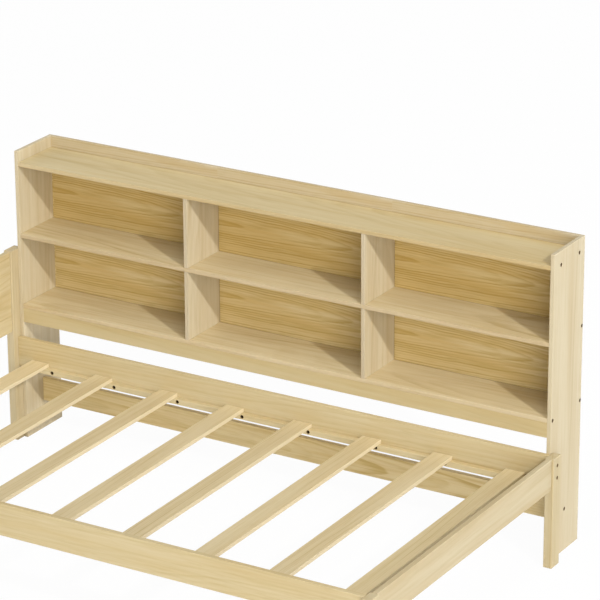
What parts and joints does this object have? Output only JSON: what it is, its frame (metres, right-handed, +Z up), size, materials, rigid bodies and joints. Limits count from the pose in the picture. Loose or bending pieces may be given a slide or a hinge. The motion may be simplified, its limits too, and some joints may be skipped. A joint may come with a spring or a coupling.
{
  "type": "bed frame with long bookcase",
  "caption": "Pine single bed frame with a slatted base, a low headboard at one end and an open bookcase along its whole rear side.",
  "frame": {"origin": "on the floor, in the middle of the bed's whole footprint", "axes": "+X along the bed from its headboard end to its foot end, +Y towards the bookcase and the wall, +Z up"},
  "size_m": [2.06, 1.3876, 1.028],
  "materials": {
    "pine": "planed pine with a thin clear coat",
    "dowel_beech": "raw beech",
    "screw_steel": "dark zinc",
    "bolt_steel": "dark zinc"
  },
  "bodies": {
    "root": {"apron": "pine", "apron_dowels": "dowel_beech", "back_panel": "pine", "back_panel_screws": "screw_steel", "barrel_nuts": "bolt_steel", "bed_bolts": "bolt_steel", "bookcase_side_left": "pine", "bookcase_side_right": "pine", "bookcase_side_screws": "screw_steel", "bookcase_to_leg_screws": "screw_steel", "bottom_shelf": "pine", "divider_dowels": "dowel_beech", "divider_left": "pine", "divider_right": "pine", "end_rail_dowels": "dowel_beech", "end_rail_foot": "pine", "foot_leg_front": "pine", "foot_leg_rear": "pine", "headboard_dowels": "dowel_beech", "headboard_lower_rail": "pine", "headboard_panel": "pine", "headboard_post_front": "pine", "headboard_post_rear": "pine", "ledger_front": "pine", "ledger_rear": "pine", "ledger_screws": "screw_steel", "middle_shelf": "pine", "shelf_dowels": "dowel_beech", "side_rail_front": "pine", "side_rail_rear": "pine", "slat_1": "pine", "slat_2": "pine", "slat_3": "pine", "slat_4": "pine", "slat_5": "pine", "slat_6": "pine", "slat_7": "pine", "slat_8": "pine", "slat_dowels": "dowel_beech", "stretcher": "pine", "top_shelf": "pine"}
  },
  "joints": []
}
